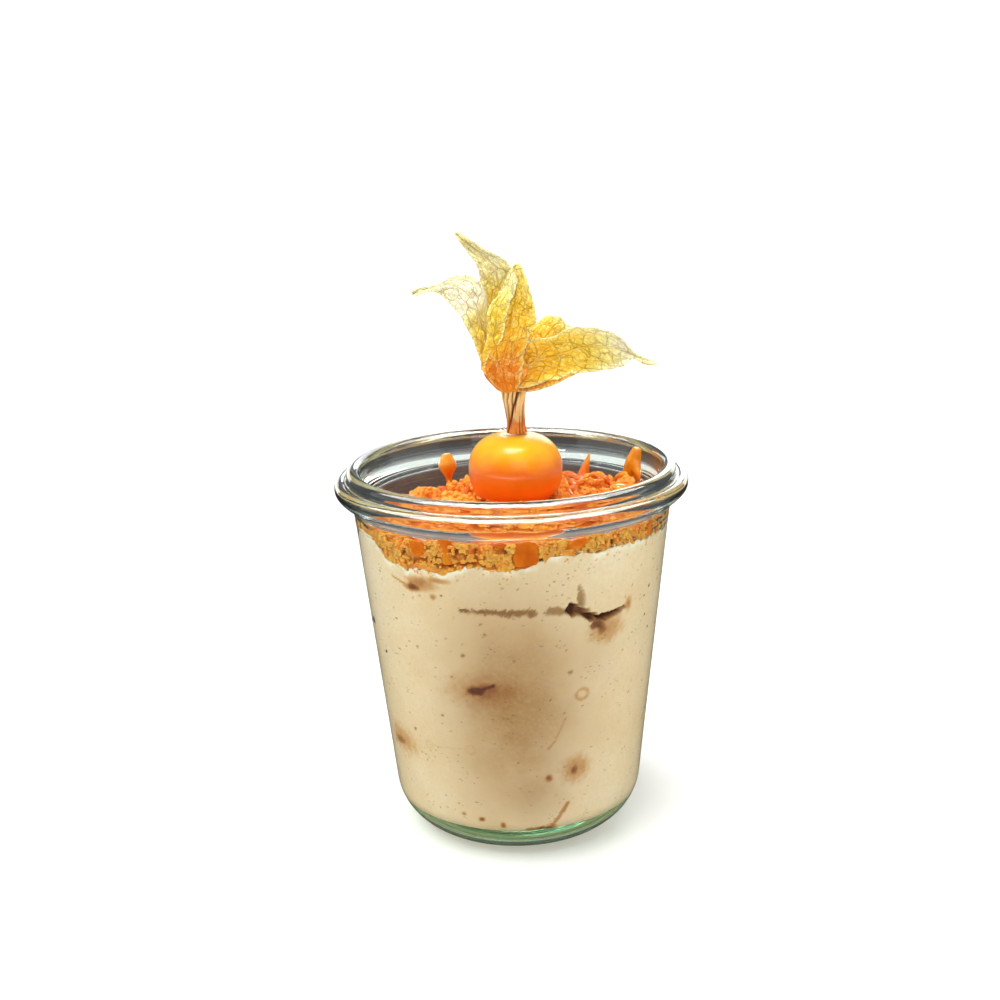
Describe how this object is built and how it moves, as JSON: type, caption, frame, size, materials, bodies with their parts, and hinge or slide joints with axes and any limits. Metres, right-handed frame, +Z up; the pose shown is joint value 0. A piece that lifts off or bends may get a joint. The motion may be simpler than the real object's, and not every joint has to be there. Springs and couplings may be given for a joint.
{
  "type": "tiramisu cup",
  "caption": "Tapered glass jar of tiramisu cream topped with caramelised biscuit crumble, caramel sauce and a golden berry in its papery husk.",
  "frame": {"origin": "centre of the jar's foot, on the surface that it stands on, on the jar's axis", "axes": "+Z up along the jar's axis; -Y towards the viewer of the picture; +X to that viewer's right, where the husk's widest lobe points"},
  "size_m": [0.07, 0.07, 0.1199],
  "materials": {
    "jar_glass": "clear pressed glass with a faint green tint, polished",
    "cream": "ivory mascarpone cream flecked with brown, moist and matt",
    "soaked_biscuit": "coffee-soaked biscuit, wet and dull",
    "crumble": "golden caramelised biscuit crumble, rough and dry",
    "caramel": "amber caramel sauce, glossy and translucent",
    "berry": "smooth waxy berry skin, golden above and orange below",
    "husk": "dry papery calyx with a fine net of veins, pale at the tips"
  },
  "bodies": {
    "root": {"jar": "jar_glass", "cream": "cream", "soaked_biscuit_1": "soaked_biscuit", "soaked_biscuit_2": "soaked_biscuit", "soaked_biscuit_3": "soaked_biscuit", "soaked_biscuit_4": "soaked_biscuit", "soaked_biscuit_5": "soaked_biscuit", "soaked_biscuit_6": "soaked_biscuit", "crumble": "crumble", "berry": "berry", "husk": "husk"}
  },
  "joints": []
}
